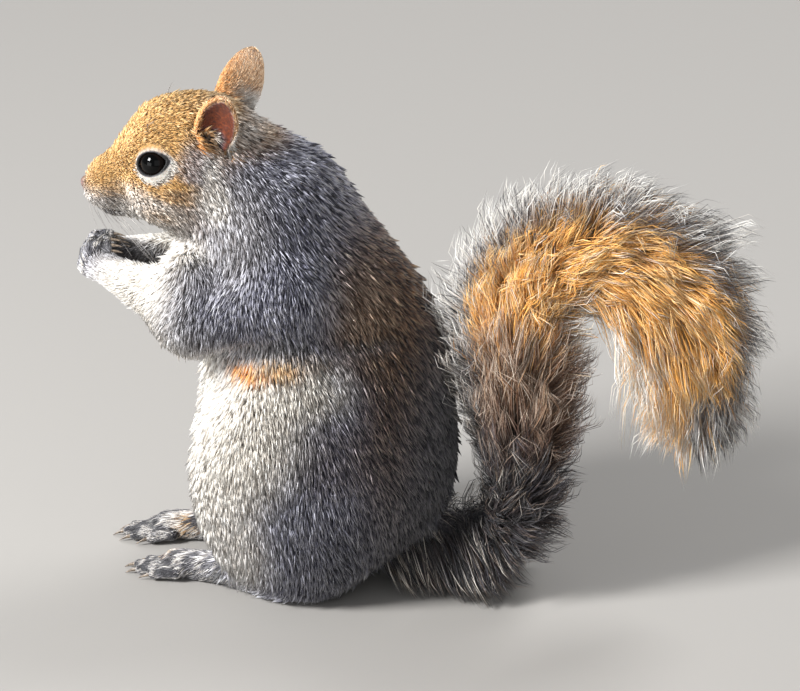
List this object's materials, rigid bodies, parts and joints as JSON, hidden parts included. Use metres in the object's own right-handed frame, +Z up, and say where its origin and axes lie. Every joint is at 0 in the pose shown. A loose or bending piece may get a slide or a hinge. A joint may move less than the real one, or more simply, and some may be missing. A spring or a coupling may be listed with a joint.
{
  "type": "grey squirrel",
  "caption": "Still, life-size grey squirrel sitting up on its haunches with its hands held at its mouth and its tail curled over behind its back.",
  "frame": {"origin": "on the floor, at the middle of the flat under the rump", "axes": "+Z up, -Y the way the squirrel faces, +X its left side"},
  "size_m": [0.0916, 0.2432, 0.1847],
  "materials": {
    "head_fur": "short flat golden-brown coat, pale round the eye and on the cheek",
    "body_fur": "dense grey coat with pale tips, white on the belly",
    "tail_fur": "long brush, ochre inside with dark bands and white tips",
    "foot_fur": "very short pale grey coat",
    "ear_skin": "thin warm brown skin with fine down",
    "nose_skin": "bare, slightly moist dark skin",
    "eye": "wet, polished near-black",
    "claw": "smooth dark horn"
  },
  "bodies": {
    "root": {"head": "head_fur", "neck": "body_fur", "trunk": "body_fur", "nose": "nose_skin", "eye_left": "eye", "eye_right": "eye", "ear_left": "ear_skin", "ear_right": "ear_skin", "arm_left": "body_fur", "arm_right": "body_fur", "hand_left": "foot_fur", "hand_right": "foot_fur", "thigh_left": "body_fur", "thigh_right": "body_fur", "hind_foot_left": "foot_fur", "hind_foot_right": "foot_fur", "tail_base": "tail_fur", "tail_climb": "tail_fur", "tail_curl": "tail_fur", "tail_tip": "tail_fur", "claw_hand_left_1": "claw", "claw_hand_left_2": "claw", "claw_hand_left_3": "claw", "claw_hand_left_4": "claw", "claw_hand_right_1": "claw", "claw_hand_right_2": "claw", "claw_hand_right_3": "claw", "claw_hand_right_4": "claw", "claw_foot_left_1": "claw", "claw_foot_left_2": "claw", "claw_foot_left_3": "claw", "claw_foot_left_4": "claw", "claw_foot_left_5": "claw", "claw_foot_right_1": "claw", "claw_foot_right_2": "claw", "claw_foot_right_3": "claw", "claw_foot_right_4": "claw", "claw_foot_right_5": "claw"}
  },
  "joints": []
}
